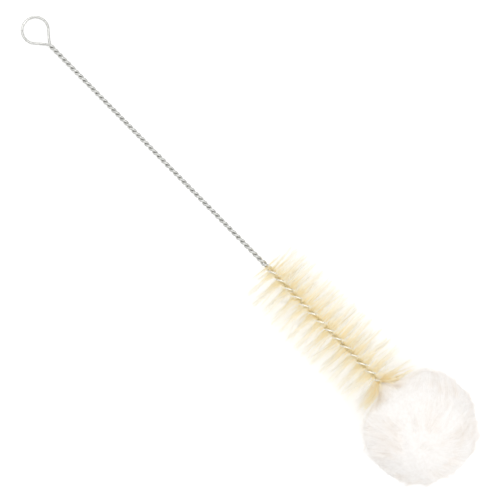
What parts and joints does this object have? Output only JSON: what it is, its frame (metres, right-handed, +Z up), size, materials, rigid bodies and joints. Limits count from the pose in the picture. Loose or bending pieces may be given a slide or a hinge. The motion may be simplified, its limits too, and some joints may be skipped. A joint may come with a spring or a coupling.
{
  "type": "bottle brush",
  "caption": "Long twisted-wire bottle brush with a hanging loop, natural bristles wound round the stem and a round white wool tip.",
  "frame": {"origin": "on the floor below the middle of the brush as it lies at rest", "axes": "+X along the brush from the hanging loop to the wool, +Y across it in the plane of the loop, +Z up from the floor"},
  "size_m": [0.3996, 0.076, 0.0738],
  "materials": {
    "galvanised_wire": "bright galvanised steel wire, drawn and twisted",
    "natural_bristle": "natural animal bristle, golden at the stem and pale at the tips",
    "white_wool": "loose white wool fibre, matt and shaggy"
  },
  "bodies": {
    "root": {"wire_stem": "galvanised_wire", "bristles": "natural_bristle", "wool_head": "white_wool"}
  },
  "joints": []
}
